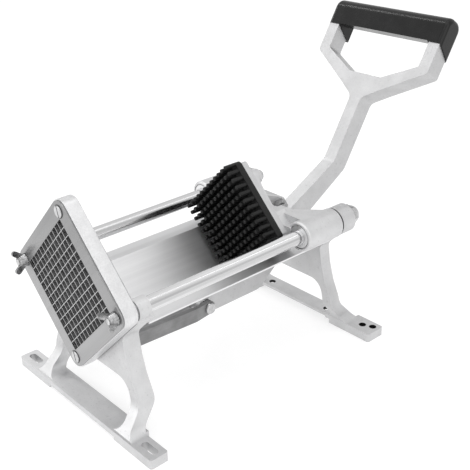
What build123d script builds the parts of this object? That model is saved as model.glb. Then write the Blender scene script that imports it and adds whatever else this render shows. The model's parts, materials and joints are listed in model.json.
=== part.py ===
from build123d import *
import os
from math import atan2, cos, degrees, hypot, radians, sin, sqrt, tan

# A lever-operated french fry cutter. Millimetres, +Z up.
# X runs across the tool, Y from the blades (front) to the handle (rear).
# The origin is on the bench, midway between the two front foot slots.

# ---------------------------------------------------------------- driving dimensions

# Cutting grid, a square stood on one corner
cell_pitch = 6.5
cells_each_way = 12
axis_height = 113.0
blade_thickness = 0.5
blade_depth = 10.0
blade_recess = 0.2
blade_frame_wall = 3.2
blade_frame_corner = 5.0
window_corner = 0.8

# Clamp ring and the front plate behind it
ring_front = -6.5
ring_inset = 0.9
ring_thickness = 1.5
ring_corner = 9.0
plate_border = 13.4
plate_thickness = 12.0
plate_corner = 10.0
plate_chamfer = 0.8
plate_lip = 2.0
lip_clearance = 1.0
fastener_inset = 13.1
ring_screw_radius = 2.5
ring_screw_head_radius = 4.7
ring_screw_head_height = 1.1
ring_screw_chamfer = 0.3
ring_screw_slot_width = 1.2
ring_screw_slot_depth = 0.8
ring_screw_turn = 75.0

# Wing nuts
wing_hub_radius = 5.4
wing_hub_taper = 1.4
wing_hub_height = 6.0
wing_span = 9.5
wing_rise = 10.0
wing_width = 4.6
wing_thickness = 2.4
wing_root = 3.0

# Guide rods, with a threaded stud at each end
rod_radius = 6.0
stud_radius = 3.0
stud_show = 0.5
stud_chamfer = 0.6
rod_end_radius = 4.0
rod_end_reach = 2.0
collar_radius = 8.0
collar_length = 10.5
rear_boss_radius = 12.3
rear_boss_lead = 4.0
rear_boss_recess = 1.0
rod_nut_flats = 16.5
rod_nut_height = 7.5
rod_nut_dome = 5.5
dome_inset = 0.4

# Castings that carry the tool
casting_gap = 1.5
casting_depth = 15.0
rear_casting_front = 220.0
rear_casting_depth = 11.5
web_drop = 68.0
rear_web_drop = 65.0
web_corner = 14.0
arm_inset = 1.0
arm_run = 8.0
arm_outset = 4.0
leg_waist = 43.0
leg_waist_radius = 8.0
leg_inner_top = 44.5
leg_inner_foot = 52.0
leg_outer_foot = 61.5
leg_flare = 11.0
leg_flare_radius = 8.0
leg_curve_radius = 30.0
leg_outer_edge = [(45.5, 0.566), (50.0, 0.425), (57.0, 0.292), (59.5, 0.177)]
kick_top = 27.0
kick_radius = 12.0
pocket_depth = 5.0
pocket_margin = 6.5
pocket_drop = 14.9
pocket_crest = 34.3
pocket_outer = 39.5
pocket_corner = 3.0

# Foot bars
foot_height = 8.0
foot_half_width = 92.5
foot_corner = 2.0
foot_arch_half = 46.0
pad_width = 28.5
front_foot_front = -8.5
front_pad_back = 7.75
front_bar_back = 11.5
front_arch = 3.0
leg_toe_inset = 2.0
rear_foot_setback = 12.0
rear_bar_depth = 16.0
rear_pad_depth = 20.0
rear_arch = 5.3
slot_inset = 12.25
slot_length = 16.5
slot_width = 6.0
rear_hole_radius = 3.0
rear_hole_inner_x = 36.0
rear_hole_middle_inset = 15.0
rear_hole_outer_inset = 6.3
rear_hole_inner_y = -2.3
rear_hole_middle_y = -0.3
rear_hole_outer_y = 3.4

# Chute of two folded plates with a slot between them
chute_drop = 49.5
chute_thickness = 1.5
chute_slot_half = 10.0
chute_bend = 41.5
chute_edge_inset = 4.0
chute_screw_place = 26.0
chute_screw_radius = 2.0
chute_screw_head_radius = 3.8
chute_screw_length = 8.0
flange_gap = 0.5

# Pusher and its carriage
finger_tip = 149.5
finger_length = 10.5
finger_side = 3.4
finger_corner = 1.5
pusher_clearance = 1.3
pusher_base = 6.0
pusher_corner = 4.5
backing_inset = 1.7
backing_thickness = 7.0
backing_corner = 3.0
carriage_web = 10.0
carriage_lower_edge = [(0, -44.0), (9.0, -42.0), (34.0, -17.0)]
carriage_upper_edge = [(22.0, 13.5), (9.0, 28.0), (6.5, 33.0), (0, 33.0)]
carriage_arm_inset = 8.0
carriage_arm_low = 8.0
carriage_arm_high = 6.0
carriage_shoulder = 15.0
carriage_arm_curve = 1.5
carriage_curve = 4.0
barrel_setback = 1.5
barrel_length = 39.5
barrel_radius = 12.8
barrel_curve = 1.8
bushing_radius = 9.5
bushing_length = 12.0
bushing_setback = 0.2
barrel_mouth_radius = 10.3
barrel_mouth_depth = 1.6
gusset_inner = 25.0
gusset_knee = 37.5
gusset_inner_run = 17.0
gusset_front = 7.0
gusset_setback = 2.0
gusset_low = 5.0
gusset_high = 12.5
pusher_screw_radius = 2.5
pusher_screw_head_radius = 4.6
pusher_screw_head_height = 4.0
pusher_screw_crown = 1.2
pusher_screw_high = 33.0
pusher_screw_low = 31.0
pusher_boss_radius = 6.5
pusher_boss_height = 3.0

# Lever pivot
pivot_setback = 27.0
pivot_rise = 4.0
pivot_radius = 4.0
lug_inner = 7.0
lug_thickness = 5.0
lug_radius = 9.0
lug_bite = 1.0
lug_top = 23.0
lug_bottom = 21.0
lug_shoulder = 52.0
lever_bolt_head_radius = 7.0
lever_bolt_head_height = 4.5
lever_bolt_show = 1.5
lever_nut_radius = 7.4
lever_nut_height = 4.5

# Lever; the places in the two lists are (y, z) from the pivot
lever_half = 6.25
lever_eye_radius = 9.0
link_eye_y_drop = 81.0
link_eye_z_drop = 69.0
link_eye_radius = 8.0
knee_run = 77.5
knee_rise = 19.2
lower_slope = 27.7
lower_depth = 20.7
belly_run = 45.0
throat_run = 14.0
throat_radius = 6.0
lever_bend = 12.0
arm_back_edge = [(4.0, -59.5), (-18.0, -77.0)]
arm_front_edge = [(-25.0, -60.0), (-13.5, -50.0), (-8.0, -4.0)]
eye_shoulder = (5.0, 6.0)
stem_lean = 32.4
stem_depth = 18.5
knee_back_drop = 2.5
neck_height = 63.5
neck_overlap = 6.0
neck_root = 1.0
neck_radius = 8.0
neck_shoulder = 24.0
neck_shoulder_rise = 10.3
elbow_height = 97.3
elbow_radius = 4.0
elbow_inner_rise = 4.3
arm_outer = 63.4
arm_width = 11.4
crotch_half = 18.0
crotch_height = 84.5
opening_radius = 3.0
arm_top = 142.0
crossbar_height = 10.0

# Grip on the fork
grip_overhang = 1.4
grip_proud = 1.3
grip_depth = 22.5
grip_front_bottom = 125.5
grip_back_bottom = 128.0
grip_tab_bottom = 115.0
grip_top = 150.5
grip_corner = 4.5
grip_crown = 9.0
grip_under_corner = 8.0

# Links from the lever's lower eye to the front casting
anchor_setback = 5.5
anchor_drop = 60.5
anchor_lug_half = 6.0
anchor_lug_root = 5.0
anchor_lug_radius = 8.0
link_inner = 7.0
link_thickness = 4.5
link_end_radius = 6.0
link_rise = 4.0
link_drop = 8.5
link_front_taper = 12.0
link_rear_taper = 14.0
link_pin_radius = 4.0
rivet_head_radius = 5.0
rivet_head_height = 2.6
rivet_chamfer = 0.8
anchor_head_radius = 6.2
washer_radius = 7.0
washer_thickness = 0.8

# Clearances
running_clearance = 0.05
side_clearance = 0.2
link_relief = 1.2

# ---------------------------------------------------------------- sizes that follow

root_two = sqrt(2.0)
window = cell_pitch * cells_each_way
blade_frame_size = window + 2 * blade_frame_wall
plate_size = window + 2 * plate_border
ring_size = plate_size - 2 * ring_inset
corner_fastener_offset = plate_size / root_two - fastener_inset
ring_back = ring_front + ring_thickness
plate_back = ring_back + plate_thickness
frame_back = plate_back - plate_lip
blade_front = ring_front + blade_recess
notch_width = blade_thickness + 2 * running_clearance
wing_back = ring_front - side_clearance
wing_front = wing_back - wing_hub_height
stud_tip = wing_front - stud_show

rod_offset = corner_fastener_offset
casting_front = plate_back + casting_gap
casting_back = casting_front + casting_depth
rear_casting_back = rear_casting_front + rear_casting_depth
rear_boss_front = rear_casting_front - rear_boss_lead
rear_boss_back = rear_casting_back - rear_boss_recess
rod_nut_back = rear_boss_back + rod_nut_height
rear_foot_front = rear_casting_front + rear_foot_setback
rear_foot_back = rear_foot_front + rear_bar_depth
rear_pad_back = rear_foot_front + rear_pad_depth
rear_hole_line = (rear_foot_front + rear_pad_back) / 2
rear_hole_places = [
    (rear_hole_inner_x, rear_hole_inner_y),
    (foot_half_width - rear_hole_middle_inset, rear_hole_middle_y),
    (foot_half_width - rear_hole_outer_inset, rear_hole_outer_y),
]

web_bottom = axis_height - web_drop
rear_web_bottom = axis_height - rear_web_drop
chute_bottom = axis_height - chute_drop
chute_top = chute_bottom + chute_bend - chute_slot_half
chute_edge = rod_offset - chute_edge_inset
chute_seat_rise = chute_bottom - chute_slot_half - chute_thickness * root_two
plate_edge_rise = axis_height - plate_size / root_two
front_screw_line = casting_front + casting_depth / 2
rear_screw_line = rear_casting_front + rear_casting_depth / 2

pusher_size = window - 2 * pusher_clearance
backing_size = pusher_size - 2 * backing_inset
finger_root = finger_tip + finger_length
base_back = finger_root + pusher_base
backing_back = base_back + backing_thickness
web_back = backing_back + carriage_web
barrel_front = backing_back + barrel_setback
barrel_back = barrel_front + barrel_length
pusher_screw_places = [
    (axis_height + pusher_screw_high, web_back + pusher_boss_height),
    (axis_height - pusher_screw_low, web_back),
]

pivot_y = backing_back + pivot_setback
pivot_z = axis_height + pivot_rise
lug_outer = lug_inner + lug_thickness
link_eye_y = pivot_y - link_eye_y_drop
link_eye_z = pivot_z - link_eye_z_drop
knee_y = pivot_y + knee_run
knee_z = pivot_z + knee_rise
grip_half_width = arm_outer + grip_overhang

anchor_y = casting_back + anchor_setback
anchor_z = axis_height - anchor_drop
link_outer = link_inner + link_thickness


# ---------------------------------------------------------------- shape helpers

def flat(outline, rounds=()):
    """Face inside an outline; rounds lists (corner, radius) of the corners to be rounded."""
    face = make_face(Polyline(*outline, close=True))
    for corner, radius in rounds:
        nearest = face.vertices().sort_by_distance(Vector(*corner, 0))[0]
        face = fillet(nearest, radius)
    return face


def prism_xz(outline, y_front, y_back, rounds=()):
    """Extrude an outline of (x, z) points from y_front to y_back."""
    face = Plane.XZ.offset(-y_back) * flat(outline, rounds)
    return extrude(face, amount=y_back - y_front)


def prism_yz(outline, x_low, x_high, rounds=()):
    """Extrude an outline of (y, z) points from x_low to x_high."""
    face = Plane.YZ.offset(x_low) * flat(outline, rounds)
    return extrude(face, amount=x_high - x_low)


def bar_y(x, z, radius, y_front, y_back):
    """Round bar along Y."""
    return Pos(x, (y_front + y_back) / 2, z) * Rot(90, 0, 0) * Cylinder(radius, y_back - y_front)


def bar_x(y, z, radius, x_low, x_high):
    """Round bar along X."""
    return Pos((x_low + x_high) / 2, y, z) * Rot(0, 90, 0) * Cylinder(radius, x_high - x_low)


def diamond(size, corner, y_front, y_back):
    """Square slab stood on one corner about the cutting axis."""
    square = RectangleRounded(size, size, corner)
    face = Plane.XZ.offset(-y_back) * (Pos(0, axis_height) * Rot(0, 0, 45) * square)
    return extrude(face, amount=y_back - y_front)


def mirror_x(shape):
    """The same shape on the other side of the centre plane."""
    return mirror(shape, about=Plane.YZ)


def both_sides(outline):
    """Close a right-hand outline, listed from centre to centre, with its mirror image."""
    return outline + [(-x, z) for x, z in reversed(outline) if x != 0]


def both_rounds(rounds):
    """The rounded corners of a right-hand outline and of its mirror image."""
    return rounds + [((-x, z), radius) for (x, z), radius in rounds]


def span_x(side, inner, outer):
    """The low and high x of a part that lies between two distances from the centre plane."""
    return sorted((side * inner, side * outer))


def group(shapes):
    """One node that holds several separate solids."""
    solids = []
    for shape in shapes:
        solids.extend(shape.solids())
    return Compound(children=solids)


def save(name, shape):
    export_step(shape, os.path.join("parts", name + ".step"))


# ---------------------------------------------------------------- castings

def leg_frame(web_low, y_front, y_back):
    """V cradle, web and two splayed legs, seen from the front."""
    arm_end = rod_offset - arm_inset
    arm_tip = rod_offset + arm_outset
    outer_edge = [(x, share * axis_height) for x, share in leg_outer_edge]
    waist = (leg_waist, plate_edge_rise + leg_waist)
    outer_toe = (leg_outer_foot, foot_height)
    inner_toe = (leg_inner_foot, foot_height)
    inner_top = (leg_inner_top, web_low)
    outline = [
        (0, chute_seat_rise),
        (arm_end - arm_run, chute_seat_rise + arm_end - arm_run),
        (arm_end, axis_height),
        (arm_tip, plate_edge_rise + arm_tip),
        waist,
        *outer_edge,
        outer_toe,
        (leg_outer_foot + leg_flare, foot_height),
        (leg_outer_foot + leg_flare, foot_height / 2),
        (leg_inner_foot - leg_flare, foot_height / 2),
        (leg_inner_foot - leg_flare, foot_height),
        inner_toe,
        inner_top,
        (0, web_low),
    ]
    rounds = [
        (waist, leg_waist_radius),
        (outer_edge[0], leg_curve_radius),
        (outer_edge[1], leg_curve_radius),
        (outer_edge[2], leg_curve_radius),
        (outer_toe, leg_flare_radius),
        (inner_toe, leg_flare_radius),
        (inner_top, web_corner),
    ]
    return prism_xz(both_sides(outline), y_front, y_back, both_rounds(rounds))


def leg_side(y_front, y_back, foot_front, foot_back):
    """Side view of a leg: upright above, kicked out to its foot below."""
    front_kick = (y_front, kick_top)
    back_kick = (y_back, kick_top)
    outline = [
        (y_front, axis_height),
        (y_back, axis_height),
        back_kick,
        (foot_back, foot_height),
        (foot_back, foot_height / 2),
        (foot_front, foot_height / 2),
        (foot_front, foot_height),
        front_kick,
    ]
    rounds = [(front_kick, kick_radius), (back_kick, kick_radius)]
    return prism_yz(outline, -foot_half_width, foot_half_width, rounds)


def web_pockets(web_low, y_back):
    """Recesses in the back of the web, left and right."""
    low = web_low + pocket_margin
    rise = chute_seat_rise - pocket_drop
    corners = [(low - rise, low), (pocket_outer, low), (pocket_crest, rise + pocket_crest)]
    rounds = [(corner, pocket_corner) for corner in corners]
    right = prism_xz(corners, y_back - pocket_depth, y_back, rounds)
    return right + mirror_x(right)


def foot_bar(y_front, bar_back, pad_back, arch_height):
    """Foot bar with a pad at each end and an arched underside."""
    pad_start = foot_half_width - pad_width
    bar = Pos(0, (y_front + bar_back) / 2, foot_height / 2)
    bar = bar * Box(2 * pad_start, bar_back - y_front, foot_height)
    pad = Pos(pad_start + pad_width / 2, (y_front + pad_back) / 2, foot_height / 2)
    pad = pad * Box(pad_width, pad_back - y_front, foot_height)
    foot = bar + pad + mirror_x(pad)
    ends = foot.edges().filter_by(Axis.Z).group_by(Axis.X)
    foot = fillet(ends[0] + ends[-1], foot_corner)
    arch = Pos(0, (y_front + bar_back) / 2, arch_height / 2)
    return foot - arch * Box(2 * foot_arch_half, 2 * rear_pad_depth, arch_height)


def make_front_casting():
    body = leg_frame(web_bottom, front_foot_front, casting_back)
    toe = front_foot_front + leg_toe_inset
    casting = body & leg_side(casting_front, casting_back, toe, front_pad_back)
    casting = casting - web_pockets(web_bottom, casting_back)
    casting = casting + foot_bar(front_foot_front, front_bar_back, front_pad_back, front_arch)
    for side in (-1, 1):
        x = side * rod_offset
        collar_back = casting_front + collar_length
        casting = casting + bar_y(x, axis_height, collar_radius, casting_front, collar_back)
        casting = casting - bar_y(x, axis_height, rod_radius, casting_front, casting_back)
        slot = SlotOverall(slot_length, slot_width)
        slot = Pos(side * (foot_half_width - slot_inset), 0, 0) * slot
        casting = casting - extrude(slot, amount=foot_height)
        pin_end = link_outer + rivet_head_height + 2 * side_clearance
        low, high = span_x(side, anchor_lug_half, pin_end)
        relief = link_end_radius + link_relief
        casting = casting - bar_x(anchor_y, anchor_z, relief, low, high)
    lug = prism_yz(
        [
            (casting_back - anchor_lug_root, anchor_z + anchor_lug_radius),
            (anchor_y, anchor_z + anchor_lug_radius),
            (anchor_y, anchor_z - anchor_lug_radius),
            (casting_back - anchor_lug_root, web_bottom),
        ],
        -anchor_lug_half,
        anchor_lug_half,
    )
    lug = lug + bar_x(anchor_y, anchor_z, anchor_lug_radius, -anchor_lug_half, anchor_lug_half)
    casting = casting + lug
    casting = casting - bar_x(anchor_y, anchor_z, link_pin_radius, -anchor_lug_half, anchor_lug_half)
    return casting - chute_screws_at(front_screw_line)


def make_rear_casting():
    body = leg_frame(rear_web_bottom, rear_casting_front, rear_pad_back)
    side_view = leg_side(rear_casting_front, rear_casting_back, rear_foot_front, rear_foot_back)
    casting = body & side_view
    casting = casting - web_pockets(rear_web_bottom, rear_casting_back)
    casting = casting + foot_bar(rear_foot_front, rear_foot_back, rear_pad_back, rear_arch)
    for side in (-1, 1):
        x = side * rod_offset
        casting = casting + bar_y(x, axis_height, rear_boss_radius, rear_boss_front, rear_boss_back)
        seat = bar_y(x, axis_height, rear_boss_radius, rear_boss_back, rear_casting_back)
        casting = casting - seat
        casting = casting - bar_y(x, axis_height, rod_radius, rear_boss_front, rear_boss_back)
        for hole_x, hole_y in rear_hole_places:
            hole = Pos(side * hole_x, rear_hole_line + hole_y, foot_height / 2)
            casting = casting - hole * Cylinder(rear_hole_radius, 2 * foot_height)
    return casting - chute_screws_at(rear_screw_line)


# ---------------------------------------------------------------- chute

def make_chute_plate():
    """Right-hand plate: a sloping wall that runs through, and a flange between the castings."""
    fold = chute_thickness * tan(radians(22.5))
    corner = chute_thickness / root_two
    wall = [
        (chute_slot_half, chute_bottom),
        (chute_bend, chute_top),
        (chute_bend + fold, chute_top - chute_thickness),
        (chute_slot_half + corner, chute_bottom - corner),
    ]
    flange = [
        (chute_bend, chute_top),
        (chute_edge, chute_top),
        (chute_edge, chute_top - chute_thickness),
        (chute_bend + fold, chute_top - chute_thickness),
    ]
    plate = prism_xz(wall, plate_back + flange_gap, rear_casting_back)
    plate = plate + prism_xz(flange, casting_back + flange_gap, rear_boss_front - flange_gap)
    plate = plate - chute_screws_at(front_screw_line)
    return plate - chute_screws_at(rear_screw_line)


def chute_screws_at(y):
    """A pair of countersunk screws through the chute walls into a cradle."""
    sunk = chute_screw_head_radius - chute_screw_radius
    z = chute_bottom + chute_screw_place - chute_slot_half
    shank = Pos(0, 0, -chute_screw_length / 2) * Cylinder(chute_screw_radius, chute_screw_length)
    head = Pos(0, 0, -sunk / 2) * Cone(chute_screw_radius, chute_screw_head_radius, sunk)
    screw = Pos(chute_screw_place, y, z) * Rot(0, -45, 0) * (shank + head)
    return screw + mirror_x(screw)


# ---------------------------------------------------------------- front plate, clamp and blades

def corner_bores(y_front, y_back):
    """Bores for the two studs and the two ring screws."""
    bores = []
    for side in (-1, 1):
        offset = side * corner_fastener_offset
        bores.append(bar_y(offset, axis_height, stud_radius, y_front, y_back))
        bores.append(bar_y(0, axis_height + offset, ring_screw_radius, y_front, y_back))
    return Compound(children=bores)


def make_front_plate():
    plate = diamond(plate_size, plate_corner, ring_back, plate_back)
    plate = chamfer(plate.faces().sort_by(Axis.Y)[-1].edges(), plate_chamfer)
    plate = plate - diamond(blade_frame_size, blade_frame_corner, ring_back, frame_back)
    plate = plate - diamond(window + lip_clearance, lip_clearance, frame_back, plate_back)
    return plate - corner_bores(ring_back, plate_back)


def make_blade_ring():
    ring = diamond(ring_size, ring_corner, ring_front, ring_back)
    ring = ring - diamond(window, window_corner, ring_front, ring_back)
    return ring - corner_bores(ring_front, ring_back)


def make_blade_frame():
    frame = diamond(blade_frame_size, blade_frame_corner, ring_back, frame_back)
    return frame - diamond(window, window_corner, ring_back, frame_back)


def make_blades(turn, notch_side):
    """One set of strips across the window, notched half through where the other set crosses.

    turn is the way that they run, in degrees; notch_side is 1 for notches in the back, -1 in the front.
    """
    offsets = [(index - cells_each_way / 2) * cell_pitch for index in range(1, cells_each_way)]
    strip = Box(window, blade_depth, blade_thickness)
    notch = Box(notch_width, blade_depth / 2, blade_thickness)
    for offset in offsets:
        strip = strip - Pos(offset, notch_side * blade_depth / 4, 0) * notch
    middle = Pos(0, blade_front + blade_depth / 2, axis_height) * Rot(0, turn, 0)
    return group([middle * Pos(0, 0, offset) * strip for offset in offsets])


def make_ring_screws():
    screws = []
    head_front = ring_front - ring_screw_head_height
    for side in (-1, 1):
        z = axis_height + side * corner_fastener_offset
        screw = bar_y(0, z, ring_screw_radius, ring_front, plate_back)
        head = bar_y(0, z, ring_screw_head_radius, head_front, ring_front)
        head = chamfer(head.faces().sort_by(Axis.Y)[0].edges(), ring_screw_chamfer)
        slot = Box(2 * ring_screw_head_radius, 2 * ring_screw_slot_depth, ring_screw_slot_width)
        screws.append(screw + head - Pos(0, head_front, z) * Rot(0, ring_screw_turn, 0) * slot)
    return group(screws)


def make_wing_nut(side, turn):
    """Wing nut on its stud; turn is the way that its wings lie, in degrees about Y."""
    hub = Pos(0, (wing_front + wing_back) / 2, 0) * Rot(90, 0, 0)
    hub = hub * Cone(wing_hub_radius, wing_hub_radius - wing_hub_taper, wing_hub_height)
    reach = wing_width / 2
    root = (wing_root, wing_back - reach)
    tip = (wing_span - reach, wing_back - wing_rise + reach)
    length = hypot(tip[0] - root[0], tip[1] - root[1])
    lean = degrees(atan2(tip[1] - root[1], tip[0] - root[0]))
    lobe = Pos((root[0] + tip[0]) / 2, (root[1] + tip[1]) / 2) * Rot(0, 0, lean)
    lobe = extrude(lobe * SlotCenterToCenter(length, wing_width), amount=wing_thickness / 2, both=True)
    nut = hub + lobe + mirror_x(lobe)
    bore = stud_radius + running_clearance
    nut = nut - bar_y(0, 0, bore, wing_back - wing_rise, wing_back)
    return Pos(side * corner_fastener_offset, 0, axis_height) * Rot(0, turn, 0) * nut


# ---------------------------------------------------------------- rods

def make_guide_rod(side):
    """Rod with a shoulder at each end, before the stud of the wing nut and that of the domed nut."""
    x = side * rod_offset
    rod = bar_y(x, axis_height, rod_radius, plate_back, rear_boss_back)
    stud = bar_y(x, axis_height, stud_radius, stud_tip, plate_back)
    stud = chamfer(stud.faces().sort_by(Axis.Y)[0].edges(), stud_chamfer)
    end = bar_y(x, axis_height, rod_end_radius, rear_boss_back, rod_nut_back + rod_end_reach)
    return stud + rod + end


def make_rod_nuts():
    nuts = []
    for side in (-1, 1):
        x = side * rod_offset
        hexagon = RegularPolygon(rod_nut_flats / 2 / cos(radians(30)), 6)
        face = Plane.XZ.offset(-rod_nut_back) * (Pos(x, axis_height) * hexagon)
        nut = extrude(face, amount=rod_nut_height)
        dome_radius = rod_nut_flats / 2 - dome_inset
        dome = bar_y(x, axis_height, dome_radius, rod_nut_back, rod_nut_back + rod_nut_dome)
        dome = fillet(dome.faces().sort_by(Axis.Y)[-1].edges(), rod_nut_dome - dome_inset)
        bore = bar_y(x, axis_height, rod_end_radius, rear_boss_back, rod_nut_back + rod_end_reach)
        nuts.append(nut + dome - bore)
    return group(nuts)


# ---------------------------------------------------------------- carriage

def make_carriage_casting():
    arm_end = rod_offset - carriage_arm_inset
    plate_reach = backing_size / root_two
    arm = [
        (arm_end, -carriage_arm_low),
        (arm_end, carriage_arm_high),
        (plate_reach - carriage_arm_high, carriage_arm_high),
        (plate_reach - carriage_shoulder, carriage_shoulder),
    ]
    places = carriage_lower_edge + arm + carriage_upper_edge
    outline = [(x, axis_height + rise) for x, rise in places]
    rounds = []
    for place, corner in zip(places[1:-2], outline[1:-2]):
        rounds.append((corner, carriage_arm_curve if place in arm else carriage_curve))
    casting = prism_xz(both_sides(outline), backing_back, web_back, both_rounds(rounds))
    for z, seat in pusher_screw_places:
        casting = casting + bar_y(0, z, pusher_boss_radius, backing_back, seat)
    low_z = axis_height + gusset_low
    gusset = Polyline(
        (gusset_inner, backing_back + gusset_front),
        (rod_offset, backing_back + gusset_front),
        (rod_offset, barrel_back - gusset_setback),
        (gusset_knee, backing_back + gusset_inner_run),
        (gusset_inner, backing_back + gusset_inner_run),
        close=True,
    )
    gusset = extrude(Pos(0, 0, low_z) * make_face(gusset), amount=gusset_high - gusset_low)
    shoulder_y = lug_radius * cos(radians(lug_shoulder))
    shoulder_z = lug_radius * sin(radians(lug_shoulder))
    lug = [
        (backing_back + lug_bite, axis_height + lug_top),
        (pivot_y + shoulder_y, pivot_z + shoulder_z),
        (pivot_y + shoulder_y, pivot_z - shoulder_z),
        (backing_back + lug_bite, axis_height - lug_bottom),
    ]
    for side in (-1, 1):
        x = side * rod_offset
        barrel = bar_y(x, axis_height, barrel_radius, barrel_front, barrel_back)
        casting = casting + fillet(barrel.faces().sort_by(Axis.Y)[0].edges(), barrel_curve)
        casting = casting + (gusset if side > 0 else mirror_x(gusset))
        low, high = span_x(side, lug_inner, lug_outer)
        casting = casting + prism_yz(lug, low, high)
        casting = casting + bar_x(pivot_y, pivot_z, lug_radius, low, high)
    for side in (-1, 1):
        x = side * rod_offset
        casting = casting - bar_y(x, axis_height, bushing_radius, barrel_front, barrel_back)
        mouth_back = barrel_front + barrel_mouth_depth
        casting = casting - bar_y(x, axis_height, barrel_mouth_radius, barrel_front, mouth_back)
    for z, seat in pusher_screw_places:
        casting = casting - bar_y(0, z, pusher_screw_radius, backing_back, seat)
    return casting - bar_x(pivot_y, pivot_z, pivot_radius, -lug_outer, lug_outer)


def make_bushings():
    bushings = []
    starts = (barrel_front + bushing_setback, barrel_back - bushing_length)
    for side in (-1, 1):
        for start in starts:
            x = side * rod_offset
            sleeve = bar_y(x, axis_height, bushing_radius, start, start + bushing_length)
            bore = rod_radius + running_clearance
            bushings.append(sleeve - bar_y(x, axis_height, bore, start, start + bushing_length))
    return group(bushings)


def make_backing_plate():
    plate = diamond(backing_size, backing_corner, base_back, backing_back)
    for z, seat in pusher_screw_places:
        plate = plate - bar_y(0, z, pusher_screw_radius, base_back, backing_back)
    return plate


def make_pusher_block():
    base = diamond(pusher_size, pusher_corner, finger_root, base_back)
    finger = extrude(RectangleRounded(finger_side, finger_side, finger_corner), amount=finger_length)
    first = (1 - cells_each_way) / 2 * cell_pitch
    fingers = []
    for column in range(cells_each_way):
        for row in range(cells_each_way):
            place = Pos(first + column * cell_pitch, first + row * cell_pitch, 0)
            fingers.append(place * finger)
    field = Pos(0, finger_root, axis_height) * Rot(0, 45, 0) * Rot(90, 0, 0) * Compound(fingers)
    return base.fuse(*field.solids()) & diamond(pusher_size, pusher_corner, finger_tip, base_back)


def make_pusher_screws():
    screws = []
    for z, seat in pusher_screw_places:
        shank = bar_y(0, z, pusher_screw_radius, base_back, seat)
        head = bar_y(0, z, pusher_screw_head_radius, seat, seat + pusher_screw_head_height)
        head = fillet(head.faces().sort_by(Axis.Y)[-1].edges(), pusher_screw_crown)
        screws.append(shank + head)
    return group(screws)


def hexagon_x(radius, x_low, height):
    """Hexagonal prism about the lever pivot, along X."""
    face = Plane.YZ.offset(x_low) * (Pos(pivot_y, pivot_z) * RegularPolygon(radius, 6))
    return extrude(face, amount=height)


def make_lever_bolt():
    head_low = -lug_outer - lever_bolt_head_height
    end = lug_outer + lever_nut_height + lever_bolt_show
    head = hexagon_x(lever_bolt_head_radius, head_low, lever_bolt_head_height)
    return head + bar_x(pivot_y, pivot_z, pivot_radius, -lug_outer, end)


def make_lever_nut():
    nut = hexagon_x(lever_nut_radius, lug_outer, lever_nut_height)
    return nut - bar_x(pivot_y, pivot_z, pivot_radius, lug_outer, lug_outer + lever_nut_height)


# ---------------------------------------------------------------- lever

def stem_plane():
    """Plane of the fork's front face: X across, local Y up the stem."""
    lean = radians(stem_lean)
    return Plane(origin=(0, knee_y, knee_z), x_dir=(1, 0, 0), z_dir=(0, -cos(lean), sin(lean)))


def stem_point(along, deep):
    """(y, z) of a point that far up the stem and that far behind its front face."""
    lean = radians(stem_lean)
    return (
        knee_y + along * sin(lean) + deep * cos(lean),
        knee_z + along * cos(lean) - deep * sin(lean),
    )


def from_pivot(place):
    return (pivot_y + place[0], pivot_z + place[1])


def make_fork():
    root = (lever_half, neck_height - neck_root)
    shoulder = (neck_shoulder, neck_height + neck_shoulder_rise)
    elbow = (arm_outer, elbow_height)
    top = (arm_outer, arm_top)
    outline = [(lever_half, neck_height - neck_overlap), root, shoulder, elbow, top]
    rounds = [(root, neck_radius), (shoulder, neck_radius), (elbow, elbow_radius), (top, opening_radius)]
    outer = flat(both_sides(outline), both_rounds(rounds))
    inner_x = arm_outer - arm_width
    opening = [
        (crotch_half, crotch_height),
        (inner_x, elbow_height + elbow_inner_rise),
        (inner_x, arm_top - crossbar_height),
    ]
    inner_rounds = [(corner, opening_radius) for corner in opening]
    inner = flat(both_sides(opening), both_rounds(inner_rounds))
    return extrude(stem_plane() * (outer - inner), amount=-stem_depth)


def make_lever_casting():
    slope = radians(lower_slope)
    throat_y = pivot_y + throat_run
    throat = (throat_y, knee_z - (knee_y - throat_y) * tan(slope))
    knee = (knee_y, knee_z)
    knee_back = stem_point(-knee_back_drop, stem_depth)
    belly_y = pivot_y + belly_run
    belly = (belly_y, knee_z - (knee_y - belly_y) * tan(slope) - lower_depth / cos(slope))
    back_edge = [from_pivot(place) for place in arm_back_edge]
    front_edge = [from_pivot(place) for place in arm_front_edge]
    side_view = [
        from_pivot(eye_shoulder),
        throat,
        knee,
        stem_point(neck_height, 0),
        stem_point(neck_height, stem_depth),
        knee_back,
        belly,
        *back_edge,
        (link_eye_y, link_eye_z - link_eye_radius),
        (link_eye_y, link_eye_z + link_eye_radius),
        *front_edge,
    ]
    bends = [knee, knee_back, belly, *back_edge, front_edge[0], front_edge[1]]
    rounds = [(corner, lever_bend) for corner in bends] + [(throat, throat_radius)]
    lever = prism_yz(side_view, -lever_half, lever_half, rounds)
    lever = lever + bar_x(pivot_y, pivot_z, lever_eye_radius, -lever_half, lever_half)
    lever = lever + bar_x(link_eye_y, link_eye_z, link_eye_radius, -lever_half, lever_half)
    lever = lever + make_fork()
    bore = pivot_radius + running_clearance
    lever = lever - bar_x(pivot_y, pivot_z, bore, -lever_half, lever_half)
    return lever - bar_x(link_eye_y, link_eye_z, link_pin_radius, -lever_half, lever_half)


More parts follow.
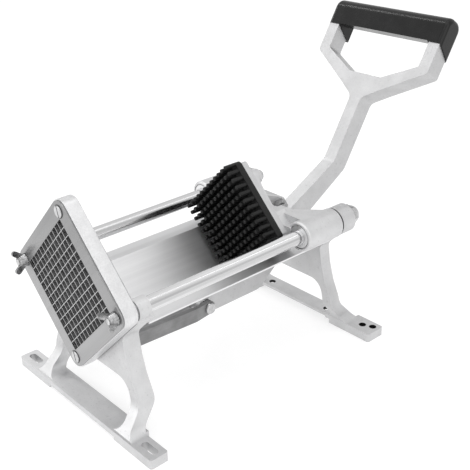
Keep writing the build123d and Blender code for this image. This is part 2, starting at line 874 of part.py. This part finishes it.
def make_grip(lever):
    """Moulded bar over the fork's crossbar, with a tab down each arm."""
    front = -grip_proud
    back = front + grip_depth
    top_front = stem_point(grip_top, front)
    top_back = stem_point(grip_top, back)
    bottom_back = stem_point(grip_back_bottom, back)
    section = [stem_point(grip_front_bottom, front), top_front, top_back, bottom_back]
    rounds = [(top_front, grip_crown), (top_back, grip_crown), (bottom_back, grip_under_corner)]
    grip = prism_yz(section, -grip_half_width, grip_half_width, rounds)
    tab = [
        stem_point(grip_front_bottom, front),
        stem_point(grip_top - grip_crown, front),
        stem_point(grip_top - grip_crown, back),
        stem_point(grip_tab_bottom, back),
    ]
    right_tab = prism_yz(tab, arm_outer - arm_width - grip_proud, grip_half_width)
    grip = grip + right_tab + mirror_x(right_tab)
    for end in (0, -1):
        rim = grip.faces().sort_by(Axis.X)[end].edges().sort_by(Axis.Z)[-4:]
        grip = fillet(rim, grip_corner)
    return grip - lever


def make_link_pin():
    reach = lever_half + washer_thickness - side_clearance
    return bar_x(link_eye_y, link_eye_z, link_pin_radius, -reach, reach)


def make_washers(y, z, inner):
    """A washer each side of an eye, up to the links."""
    washers = []
    for side in (-1, 1):
        low, high = span_x(side, inner, link_inner - side_clearance)
        ring = bar_x(y, z, washer_radius, low, high)
        washers.append(ring - bar_x(y, z, link_pin_radius, low, high))
    return group(washers)


# ---------------------------------------------------------------- links

def make_link(side):
    """Flat bar from the anchor lug to the lever's lower eye, rounded at both ends."""
    low, high = span_x(side, link_inner, link_outer)
    along_y = link_eye_y - anchor_y
    along_z = link_eye_z - anchor_z
    length = hypot(along_y, along_z)
    tilt = degrees(atan2(along_z, along_y))
    outline = [
        (0, link_end_radius),
        (link_front_taper, link_rise),
        (length - link_rear_taper, link_rise),
        (length, link_end_radius),
        (length, -link_end_radius),
        (length - link_rear_taper, -link_drop),
        (link_front_taper, -link_drop),
        (0, -link_end_radius),
    ]
    half = link_thickness / 2
    link = prism_yz(outline, -half, half)
    link = link + bar_x(0, 0, link_end_radius, -half, half) + bar_x(length, 0, link_end_radius, -half, half)
    link = link - bar_x(0, 0, link_pin_radius + running_clearance, -half, half)
    link = link - bar_x(length, 0, link_pin_radius, -half, half)
    return Pos((low + high) / 2, anchor_y, anchor_z) * Rot(tilt, 0, 0) * link


def make_link_rivets():
    rivets = []
    for side in (-1, 1):
        low, high = span_x(side, link_inner, link_outer)
        shank = bar_x(link_eye_y, link_eye_z, link_pin_radius, low, high)
        low, high = span_x(side, link_outer, link_outer + rivet_head_height)
        head = bar_x(link_eye_y, link_eye_z, rivet_head_radius, low, high)
        outer_face = head.faces().sort_by(Axis.X)[-1 if side > 0 else 0]
        rivets.append(shank + chamfer(outer_face.edges(), rivet_chamfer))
    return group(rivets)


def make_anchor_pin():
    reach = link_outer + side_clearance
    pin = bar_x(anchor_y, anchor_z, link_pin_radius, -reach, reach)
    for side in (-1, 1):
        low, high = span_x(side, reach, reach + rivet_head_height)
        pin = pin + bar_x(anchor_y, anchor_z, anchor_head_radius, low, high)
    return pin


# ---------------------------------------------------------------- build

os.makedirs("parts", exist_ok=True)

save("front_plate", make_front_plate())
save("front_casting", make_front_casting())
save("rear_casting", make_rear_casting())
save("guide_rod_left", make_guide_rod(-1))
save("guide_rod_right", make_guide_rod(1))
save("rod_nuts", make_rod_nuts())

chute_plate_right = make_chute_plate()
save("chute_plate_right", chute_plate_right)
save("chute_plate_left", mirror_x(chute_plate_right))
save("chute_screws", group([chute_screws_at(front_screw_line), chute_screws_at(rear_screw_line)]))

save("blade_ring", make_blade_ring())
save("blade_frame", make_blade_frame())
save("blades_front", make_blades(-45, 1))
save("blades_rear", make_blades(45, -1))
save("ring_screws", make_ring_screws())
save("wing_nut_left", make_wing_nut(-1, 80))
save("wing_nut_right", make_wing_nut(1, 20))

save("carriage_casting", make_carriage_casting())
save("bushings", make_bushings())
save("backing_plate", make_backing_plate())
save("pusher_block", make_pusher_block())
save("pusher_screws", make_pusher_screws())
save("lever_bolt", make_lever_bolt())
save("lever_nut", make_lever_nut())

lever_casting = make_lever_casting()
save("lever_casting", lever_casting)
save("grip", make_grip(lever_casting))
save("link_pin", make_link_pin())
save("link_pin_washers", make_washers(link_eye_y, link_eye_z, lever_half))

save("link_left", make_link(-1))
save("link_right", make_link(1))
save("link_rivets", make_link_rivets())
save("anchor_pin", make_anchor_pin())
save("anchor_washers", make_washers(anchor_y, anchor_z, anchor_lug_half))
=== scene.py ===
import json
import math

import bmesh
import bpy
from mathutils import Matrix, Vector


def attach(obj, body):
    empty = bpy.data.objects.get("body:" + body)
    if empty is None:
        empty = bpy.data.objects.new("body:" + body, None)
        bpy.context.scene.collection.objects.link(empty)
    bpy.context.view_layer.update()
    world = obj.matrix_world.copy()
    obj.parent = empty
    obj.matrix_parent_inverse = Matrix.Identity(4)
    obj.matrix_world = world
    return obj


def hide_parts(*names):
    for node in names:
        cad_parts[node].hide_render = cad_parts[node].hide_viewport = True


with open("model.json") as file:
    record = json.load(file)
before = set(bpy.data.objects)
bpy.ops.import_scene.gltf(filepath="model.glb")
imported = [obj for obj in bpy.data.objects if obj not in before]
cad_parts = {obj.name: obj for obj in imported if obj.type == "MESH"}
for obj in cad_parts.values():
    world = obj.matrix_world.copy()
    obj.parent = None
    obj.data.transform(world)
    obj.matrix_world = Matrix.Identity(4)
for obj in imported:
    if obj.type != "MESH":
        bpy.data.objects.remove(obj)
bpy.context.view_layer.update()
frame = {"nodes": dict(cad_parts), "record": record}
millimetre = 0.001
thread_pitch = 1.25 * millimetre

# The front and rear edges of the blade strips.
strip_front = -6.3 * millimetre
strip_back = 3.7 * millimetre

# Of the grip's edges, only those along its bar are longer than this.
long_grip_edge = 80.0 * millimetre

# Vertices this close are one, and faces that turn by less than this are one flat face.
weld_distance = 0.002 * millimetre
flat_angle = math.radians(0.5)

# Edges that turn by more than sharp_angle are rounded; shading breaks at smooth_angle.
sharp_angle = math.radians(30.0)
smooth_angle = math.radians(40.0)

# Nearly all values of a noise lie in this range.
noise_range = (0.3, 0.7)

# How pale the painted shade on the metal is: in holes, round screw heads and in a thread's grooves.
hole_shade_tone = 0.03
head_shade_tone = 0.05
thread_shade_tone = 0.06

# Painted shade darkens brushed steel more and more from the lower of these heights to the upper one.
shade_from_height = 90.0 * millimetre
shade_to_height = 160.0 * millimetre

# ---------------------------------------------------------------- camera and studio

camera_place = (0.4944, -0.2804, 0.4215)
camera_azimuth = 48.35
camera_elevation = 25.99
camera_roll = -1.25
camera_lens = 65.70
camera_sensor = 36.0

world_strength = 0.85
middle = (0.0, 0.12, 0.1)
grip_place = (0.0, 0.35, 0.25)
soft_boxes = [
    # name, place, what it points at, size in metres, power in watts
    ("top_light", (0.3, 0.0, 1.4), middle, (1.2, 1.2), 4.0),
    ("front_light", (-0.7, -1.5, 0.8), middle, (1.4, 1.0), 8.5),
    ("side_light", (1.5, 0.1, 0.9), middle, (1.2, 1.2), 3.5),
    ("rod_strip", (0.37, 1.0, 1.26), middle, (0.14, 1.4), 0.5),
    ("grip_strip", (-1.0, 0.05, 1.3), grip_place, (0.06, 1.4), 4.0),
]
floor_half_width = 6.0


def set_up_camera():
    data = bpy.data.cameras.new("camera")
    data.lens = camera_lens
    data.sensor_width = camera_sensor
    data.clip_start = 0.01
    camera = bpy.data.objects.new("camera", data)
    bpy.context.scene.collection.objects.link(camera)
    turn = Matrix.Rotation(math.radians(camera_azimuth), 4, "Z")
    tip = Matrix.Rotation(math.radians(90.0 - camera_elevation), 4, "X")
    roll = Matrix.Rotation(math.radians(camera_roll), 4, "Z")
    camera.matrix_world = Matrix.Translation(camera_place) @ turn @ tip @ roll
    bpy.context.scene.camera = camera


def add_soft_box(name, place, target, size, power):
    data = bpy.data.lights.new(name, "AREA")
    data.shape = "RECTANGLE"
    data.size = size[0]
    data.size_y = size[1]
    data.energy = power
    lamp = bpy.data.objects.new(name, data)
    bpy.context.scene.collection.objects.link(lamp)
    lamp.location = place
    aim = Vector(target) - Vector(place)
    lamp.rotation_euler = aim.to_track_quat("-Z", "Y").to_euler()


def set_up_studio():
    bpy.context.scene.view_settings.view_transform = "Standard"
    world = bpy.data.worlds.new("studio")
    world.use_nodes = True
    world.node_tree.nodes["Background"].inputs["Color"].default_value = (1.0, 1.0, 1.0, 1.0)
    world.node_tree.nodes["Background"].inputs["Strength"].default_value = world_strength
    bpy.context.scene.world = world
    for name, place, target, size, power in soft_boxes:
        add_soft_box(name, place, target, size, power)


def lay_floor():
    """Matt white paper that glows faintly, so that it stays pale under the object."""
    floor_mesh = bpy.data.meshes.new("floor")
    bm = bmesh.new()
    bmesh.ops.create_grid(bm, x_segments=1, y_segments=1, size=floor_half_width)
    bm.to_mesh(floor_mesh)
    bm.free()
    floor = bpy.data.objects.new("floor", floor_mesh)
    bpy.context.scene.collection.objects.link(floor)
    paper = bpy.data.materials.new("paper")
    paper.use_nodes = True
    surface = paper.node_tree.nodes["Principled BSDF"]
    surface.inputs["Base Color"].default_value = (0.45, 0.45, 0.45, 1.0)
    surface.inputs["Roughness"].default_value = 1.0
    surface.inputs["Specular IOR Level"].default_value = 0.0
    surface.inputs["Emission Color"].default_value = (1.0, 1.0, 1.0, 1.0)
    surface.inputs["Emission Strength"].default_value = 0.62
    floor_mesh.materials.append(paper)


# ---------------------------------------------------------------- shader arithmetic

class Value:
    """A number that varies over a surface. Arithmetic on it adds Math nodes."""

    def __init__(self, finish, socket):
        self.finish = finish
        self.socket = socket

    def math(self, operation, first, second):
        return self.finish.node("ShaderNodeMath", {"operation": operation}, {0: first, 1: second})

    def __add__(self, other):
        return self.math("ADD", self, other)

    def __sub__(self, other):
        return self.math("SUBTRACT", self, other)

    def __rsub__(self, other):
        return self.math("SUBTRACT", other, self)

    def __mul__(self, other):
        return self.math("MULTIPLY", self, other)

    def __pow__(self, other):
        return self.math("POWER", self, other)


class Finish:
    """One material, with the nodes that its surface is made of."""

    def __init__(self, name, constants):
        self.material = bpy.data.materials.new(name)
        self.material.use_nodes = True
        self.tree = self.material.node_tree
        self.surface = self.tree.nodes["Principled BSDF"]
        for socket, value in constants.items():
            self.surface.inputs[socket].default_value = value

    def node(self, kind, settings, sockets, output=0):
        """Any node: its settings first, then the values or links of its sockets."""
        made = self.tree.nodes.new(kind)
        for name, value in settings.items():
            setattr(made, name, value)
        for key, value in sockets.items():
            if isinstance(value, Value):
                self.tree.links.new(value.socket, made.inputs[key])
            else:
                made.inputs[key].default_value = value
        return Value(self, made.outputs[output])

    def axis(self, name):
        """One of the object coordinates."""
        spot = self.node("ShaderNodeTexCoord", {}, {}, output="Object")
        return self.node("ShaderNodeSeparateXYZ", {}, {0: spot}, output=name)

    def math(self, operation, value):
        return self.node("ShaderNodeMath", {"operation": operation}, {0: value})

    def feed(self, socket, value):
        self.tree.links.new(value.socket, self.surface.inputs[socket])

    def place(self, stretch=(1.0, 1.0, 1.0), turn=(0.0, 0.0, 0.0)):
        """Object coordinates, turned and then stretched."""
        spot = self.node("ShaderNodeTexCoord", {}, {}, output="Object")
        turned = self.node("ShaderNodeMapping", {}, {"Vector": spot, "Rotation": turn})
        return self.node("ShaderNodeMapping", {}, {"Vector": turned, "Scale": stretch})

    def noise(self, where, scale, detail=3.0, roughness=0.55):
        sockets = {"Vector": where, "Scale": scale, "Detail": detail, "Roughness": roughness}
        return self.node("ShaderNodeTexNoise", {}, sockets)

    def clamp(self, value, low, high, new_low=0.0, new_high=1.0):
        """Map low..high to new_low..new_high and hold it there at both ends."""
        sockets = {"Value": value, "From Min": low, "From Max": high, "To Min": new_low, "To Max": new_high}
        return self.node("ShaderNodeMapRange", {}, sockets)

    def blend(self, factor, first, second):
        """Colour between first and second."""
        sockets = {"Factor": factor, 6: first, 7: second}
        return self.node("ShaderNodeMix", {"data_type": "RGBA"}, sockets, output=2)

    def bump(self, height, distance, strength=1.0, under=None):
        sockets = {"Height": height, "Distance": distance, "Strength": strength}
        if under is not None:
            sockets["Normal"] = under
        return self.node("ShaderNodeBump", {}, sockets)


def grey(level):
    return (level, level, level * 1.008, 1.0)


# ---------------------------------------------------------------- finishes

def cast_aluminium(name, level, bores=()):
    """Sand-cast aluminium: fine grain, faint mottling and small dark pits.

    bores lists (x, y, radius) of upright holes, on both sides, whose walls are darkened with painted shade.
    """
    finish = Finish(name, {"Metallic": 1.0})
    spot = finish.place()
    mottle = finish.clamp(finish.noise(spot, scale=60.0, detail=4.0), *noise_range)
    grain = finish.noise(spot, scale=900.0, detail=3.0, roughness=0.6)
    pits = finish.clamp(finish.noise(spot, scale=420.0, detail=2.0), 0.62, 0.74)
    tone = finish.blend(mottle, grey(level * 0.93), grey(level * 1.05))
    colour = finish.blend(pits * 0.35, tone, grey(level * 0.65))
    across = finish.math("ABSOLUTE", finish.axis("X"))
    along = finish.axis("Y")
    for x, y, radius in bores:
        gap = ((across - x) ** 2.0 + (along - y) ** 2.0) ** 0.5
        # Painted shade on the wall of each hole, where little light reaches.
        painted_hole_shade = finish.clamp(gap, radius + 0.15 * millimetre, radius + 0.4 * millimetre, 1.0, 0.0)
        colour = finish.blend(painted_hole_shade, colour, grey(hole_shade_tone))
    finish.feed("Base Color", colour)
    finish.feed("Roughness", finish.clamp(grain, 0.25, 0.75, 0.42, 0.60))
    finish.feed("Normal", finish.bump(grain - pits * 0.8, distance=0.12 * millimetre, strength=0.7))
    return finish.material


def brushed_steel(name, level, turn, roughness=0.32, heads=(), upper_shade_depth=0.42):
    """Steel with a straight brushed grain; turn lays the grain's direction along X.

    heads lists (x, z, radius) of screw heads; a thin ring of painted shade runs round each of them.
    The last argument is how much painted shade darkens the upper part of the metal.
    """
    finish = Finish(name, {"Metallic": 1.0})
    grain = finish.place(stretch=(6.0, 900.0, 900.0), turn=turn)
    lines = finish.noise(grain, scale=1.0, detail=4.0, roughness=0.6)
    cloud = finish.noise(finish.place(), scale=45.0, detail=3.0)
    broad = finish.noise(finish.place(stretch=(5.0, 160.0, 160.0), turn=turn), scale=1.0, detail=2.0)
    streaks = finish.clamp(broad, 0.35, 0.65)
    colour = finish.blend(finish.clamp(lines, *noise_range), grey(level * 0.86), grey(level))
    colour = finish.blend(streaks * 0.3, colour, grey(level * 0.7))
    across = finish.axis("X")
    upright = finish.axis("Z")
    # Painted shade: the metal grows darker the higher it lies.
    painted_upper_shade = finish.clamp(upright, shade_from_height, shade_to_height, 0.0, upper_shade_depth)
    colour = finish.blend(painted_upper_shade, colour, grey(level * 0.4))
    for x, z, radius in heads:
        gap = ((across - x) ** 2.0 + (upright - z) ** 2.0) ** 0.5
        # A thin ring of painted shade round the screw head, where it sits in the metal.
        painted_head_shade = finish.clamp(gap, radius + 0.3 * millimetre, radius + 0.9 * millimetre, 1.0, 0.0)
        colour = finish.blend(painted_head_shade, colour, grey(head_shade_tone))
    finish.feed("Base Color", colour)
    uneven = lines * 0.7 + cloud * 0.3
    finish.feed("Roughness", finish.clamp(uneven, *noise_range, roughness - 0.07, roughness + 0.09))
    finish.feed("Normal", finish.bump(lines, distance=0.02 * millimetre, strength=0.6))
    return finish.material


def polished_steel(name, level, roughness, streak, thread_end=None):
    """Polished stainless steel with faint drawn lines and smudges.

    In front of thread_end the surface carries the turns of a screw thread, with painted shade in its grooves.
    """
    finish = Finish(name, {"Metallic": 1.0})
    lines = finish.noise(finish.place(stretch=(500.0, 4.0, 500.0)), scale=1.0, detail=3.0)
    smudge = finish.clamp(finish.noise(finish.place(), scale=22.0, detail=3.0), 0.35, 0.7)
    broad = finish.noise(finish.place(stretch=(230.0, 1.5, 230.0)), scale=1.0, detail=2.0)
    streaks = finish.clamp(broad, 0.38, 0.62)
    colour = finish.blend(streaks, grey(level * (1.0 - streak)), grey(level))
    colour = finish.blend(finish.clamp(lines, *noise_range) * 0.1, colour, grey(level * 0.6))
    skin = finish.bump(lines, distance=0.004 * millimetre, strength=0.5)
    if thread_end is not None:
        along = finish.axis("Y")
        threaded = finish.clamp(along, thread_end - 0.3 * millimetre, thread_end, 1.0, 0.0)
        turns = finish.math("SINE", along * (math.tau / thread_pitch)) * 0.5 + 0.5
        # Painted shade in the grooves of the thread.
        colour = finish.blend(threaded * (1.0 - turns) * 0.8, colour, grey(thread_shade_tone))
        skin = finish.bump(turns * threaded, distance=0.4 * millimetre, strength=1.0, under=skin)
    finish.feed("Base Color", colour)
    finish.feed("Roughness", lines * 0.05 + smudge * 0.06 + (roughness - 0.05))
    finish.feed("Normal", skin)
    return finish.material


def strip_steel(name, edge_level, side_level):
    """Blade strip: bright along its front edge and its ground rear edge, duller between them."""
    finish = Finish(name, {"Metallic": 0.75})
    along = finish.axis("Y")
    front = finish.clamp(along, strip_front + 0.15 * millimetre, strip_front + 0.35 * millimetre, 1.0, 0.0)
    rear = finish.clamp(along, strip_back - 1.6 * millimetre, strip_back - 1.4 * millimetre)
    lines = finish.noise(finish.place(stretch=(900.0, 60.0, 900.0)), scale=1.0, detail=3.0)
    side = finish.blend(finish.clamp(lines, *noise_range), grey(side_level * 0.8), grey(side_level * 1.2))
    side = finish.blend(rear, side, grey(0.5))
    finish.feed("Base Color", finish.blend(front, side, grey(edge_level)))
    finish.feed("Roughness", finish.clamp(lines, *noise_range, 0.28, 0.42))
    finish.feed("Normal", finish.bump(lines, distance=0.01 * millimetre, strength=0.5))
    return finish.material


def bright_zinc(name, level, contrast):
    """Plated fasteners, softly shining: a low contrast makes uneven plating, a high contrast paints dark
    reflections into the colour.
    """
    finish = Finish(name, {"Metallic": 1.0})
    spot = finish.place()
    cloud = finish.noise(spot, scale=300.0, detail=3.0)
    fine = finish.noise(spot, scale=1800.0, detail=2.0)
    plating_and_reflection_patches = finish.clamp(cloud, *noise_range)
    finish.feed("Base Color", finish.blend(plating_and_reflection_patches, grey(level * (1.0 - contrast)), grey(level)))
    finish.feed("Roughness", finish.clamp(cloud, *noise_range, 0.18, 0.36))
    finish.feed("Normal", finish.bump(fine, distance=0.02 * millimetre, strength=0.5))
    return finish.material


def flat_bar_steel(name, level):
    """Grey flat bar with long mill marks."""
    finish = Finish(name, {"Metallic": 0.9})
    marks = finish.noise(finish.place(stretch=(700.0, 12.0, 700.0)), scale=1.0, detail=4.0)
    cloud = finish.clamp(finish.noise(finish.place(), scale=70.0, detail=4.0), *noise_range)
    finish.feed("Base Color", finish.blend(cloud, grey(level * 0.8), grey(level * 1.15)))
    finish.feed("Roughness", finish.clamp(marks, *noise_range, 0.38, 0.55))
    finish.feed("Normal", finish.bump(marks, distance=0.03 * millimetre, strength=0.6))
    return finish.material


def black_plastic(name, roughness, shine, level):
    """Moulded black plastic with a fine satin texture."""
    finish = Finish(name, {"Specular IOR Level": shine})
    spot = finish.place()
    fine = finish.noise(spot, scale=1500.0, detail=2.0)
    cloud = finish.noise(spot, scale=80.0, detail=3.0)
    finish.feed("Base Color", finish.blend(finish.clamp(cloud, *noise_range), grey(level), grey(level * 1.7)))
    uneven = cloud * 0.6 + fine * 0.4
    finish.feed("Roughness", finish.clamp(uneven, *noise_range, roughness - 0.05, roughness + 0.08))
    finish.feed("Normal", finish.bump(fine, distance=0.03 * millimetre, strength=0.5))
    return finish.material


def sintered_metal(name):
    """Porous sleeve bearings."""
    finish = Finish(name, {"Metallic": 1.0})
    pores = finish.noise(finish.place(), scale=1400.0, detail=2.0)
    finish.feed("Base Color", finish.blend(pores, grey(0.66), grey(0.85)))
    finish.feed("Roughness", finish.clamp(pores, *noise_range, 0.35, 0.5))
    finish.feed("Normal", finish.bump(pores, distance=0.03 * millimetre, strength=0.5))
    return finish.material


# ---------------------------------------------------------------- pieces from the frame

def node_body(node):
    bodies = frame["record"]["behaviour"]["bodies"]
    return next(body for body, members in bodies.items() if node in members)


def node_slot(node):
    return next(row["material_slot"] for row in frame["record"]["subparts"] if row["node"] == node)


def finish_piece(name, bm, material, node):
    """Turn a bmesh into a piece that stands for a node and rides with its body."""
    mesh = bpy.data.meshes.new(name)
    bm.to_mesh(mesh)
    bm.free()
    mesh.shade_smooth()
    mesh.set_sharp_from_angle(angle=smooth_angle)
    mesh.materials.clear()
    mesh.materials.append(material)
    piece = bpy.data.objects.new(name, mesh)
    bpy.context.scene.collection.objects.link(piece)
    even = piece.modifiers.new("even_normals", "WEIGHTED_NORMAL")
    even.keep_sharp = True
    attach(piece, node_body(node))
    node_slot(node)
    return piece


def merged_copy(node):
    """The node's own surface with its loose triangles joined into flat faces."""
    bm = bmesh.new()
    bm.from_mesh(frame["nodes"][node].data)
    bmesh.ops.remove_doubles(bm, verts=bm.verts, dist=weld_distance)
    bmesh.ops.dissolve_limit(bm, angle_limit=flat_angle, verts=bm.verts, edges=bm.edges)
    return bm


def sharp_edges(bm):
    """Every edge between two faces that turns by more than sharp_angle."""
    return [edge for edge in bm.edges if len(edge.link_faces) == 2 and edge.calc_face_angle() > sharp_angle]


def round_edges(bm, edges, width, segments=2):
    bmesh.ops.bevel(
        bm,
        geom=edges,
        offset=width,
        offset_type="OFFSET",
        affect="EDGES",
        segments=segments,
        profile=0.5,
        material=-1,
        clamp_overlap=True,
    )


def replace_node(node, bm, material):
    piece = finish_piece(node + "_body", bm, material, node)
    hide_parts(node)


def rounded_node(node, material, width):
    bm = merged_copy(node)
    round_edges(bm, sharp_edges(bm), width * millimetre)
    replace_node(node, bm, material)


def domed_pusher(material):
    """The pusher with the tips of its fingers domed."""
    bm = merged_copy("pusher_block")
    tip = min(vert.co.y for vert in bm.verts) + 0.01 * millimetre
    rims = [edge for edge in sharp_edges(bm) if max(vert.co.y for vert in edge.verts) < tip]
    round_edges(bm, rims, 1.2 * millimetre, 3)
    replace_node("pusher_block", bm, material)


def rounded_grip(material):
    """The grip, with the edges along its bar rounded more than the others."""
    bm = merged_copy("grip")
    long_edges = [edge for edge in sharp_edges(bm) if edge.calc_length() > long_grip_edge]
    round_edges(bm, long_edges, 2.5 * millimetre, 4)
    round_edges(bm, sharp_edges(bm), 0.4 * millimetre)
    replace_node("grip", bm, material)


set_up_camera()
set_up_studio()
lay_floor()

# The upright holes in the rear bar, on the right; the left has the same.
rear_bore_radius = 3.0 * millimetre
rear_bores = [
    (36.0 * millimetre, 239.7 * millimetre, rear_bore_radius),
    (77.5 * millimetre, 241.7 * millimetre, rear_bore_radius),
    (86.2 * millimetre, 245.4 * millimetre, rear_bore_radius),
]

# The two screws of the ring, above and below the blades.
screw_head_radius = 4.7 * millimetre
ring_screw_heads = [
    (0.0, 174.0 * millimetre, screw_head_radius),
    (0.0, 52.0 * millimetre, screw_head_radius),
]

# The rods are threaded in front of this and smooth behind it.
stud_end = -6.6 * millimetre

# Turns of the brushed grain: with the diamond's sides, or level.
along_diamond = (0.0, math.radians(45.0), 0.0)
straight = (0.0, 0.0, 0.0)

alloy = cast_aluminium("cast_aluminium", level=0.66)
rear_alloy = cast_aluminium("rear_cast_aluminium", level=0.6, bores=rear_bores)
lever_alloy = cast_aluminium("lever_cast_aluminium", level=0.55)
backing_alloy = cast_aluminium("backing_aluminium", level=0.6)
# The ring carries painted shade on its upper part and round its screw heads.
brushed = brushed_steel("brushed_ring_steel", level=0.43, turn=along_diamond, heads=ring_screw_heads)
plain_brushed = brushed_steel("brushed_steel", level=0.45, turn=straight)
plate_alloy = brushed_steel("milled_aluminium", level=0.8, turn=along_diamond, roughness=0.38, upper_shade_depth=0.0)
polished = polished_steel("polished_steel", level=0.9, roughness=0.18, streak=0.38, thread_end=stud_end)
chute_steel = polished_steel("chute_steel", level=0.79, roughness=0.42, streak=0.06)
front_strip = strip_steel("front_strip_steel", edge_level=0.55, side_level=0.34)
rear_strip = strip_steel("rear_strip_steel", edge_level=0.5, side_level=0.34)
zinc = bright_zinc("bright_zinc", level=0.62, contrast=0.2)
# Strong contrast: the dark patches are painted reflections of a dark surrounding.
wing_zinc = bright_zinc("wing_nut_zinc", level=0.5, contrast=0.6)
flat_bar = flat_bar_steel("grey_flat_bar", level=0.265)
pusher_plastic = black_plastic("pusher_plastic", roughness=0.5, shine=0.25, level=0.008)
grip_plastic = black_plastic("grip_plastic", roughness=0.24, shine=0.33, level=0.003)
sleeve_metal = sintered_metal("sintered_metal")

# Each piece's finish, and how far its edges are rounded, in millimetres.
rounding = {
    "front_plate": (plate_alloy, 0.5),
    "front_casting": (alloy, 0.9),
    "rear_casting": (rear_alloy, 0.9),
    "carriage_casting": (alloy, 0.9),
    "lever_casting": (lever_alloy, 0.9),
    "backing_plate": (backing_alloy, 0.6),
    "guide_rod_left": (polished, 0.3),
    "guide_rod_right": (polished, 0.3),
    "rod_nuts": (zinc, 0.3),
    "chute_plate_left": (chute_steel, 0.15),
    "chute_plate_right": (chute_steel, 0.15),
    "chute_screws": (zinc, 0.1),
    "blade_ring": (brushed, 0.3),
    "blade_frame": (plain_brushed, 0.2),
    "blades_front": (front_strip, 0.05),
    "blades_rear": (rear_strip, 0.05),
    "ring_screws": (zinc, 0.2),
    "wing_nut_left": (wing_zinc, 0.5),
    "wing_nut_right": (wing_zinc, 0.5),
    "anchor_pin": (zinc, 0.3),
    "anchor_washers": (zinc, 0.1),
    "bushings": (sleeve_metal, 0.2),
    "pusher_screws": (zinc, 0.3),
    "lever_bolt": (wing_zinc, 0.3),
    "lever_nut": (wing_zinc, 0.3),
    "link_pin": (zinc, 0.2),
    "link_pin_washers": (zinc, 0.05),
    "link_left": (flat_bar, 0.4),
    "link_right": (flat_bar, 0.4),
    "link_rivets": (zinc, 0.3),
}
for node, (material, width) in rounding.items():
    rounded_node(node, material, width)
domed_pusher(pusher_plastic)
rounded_grip(grip_plastic)
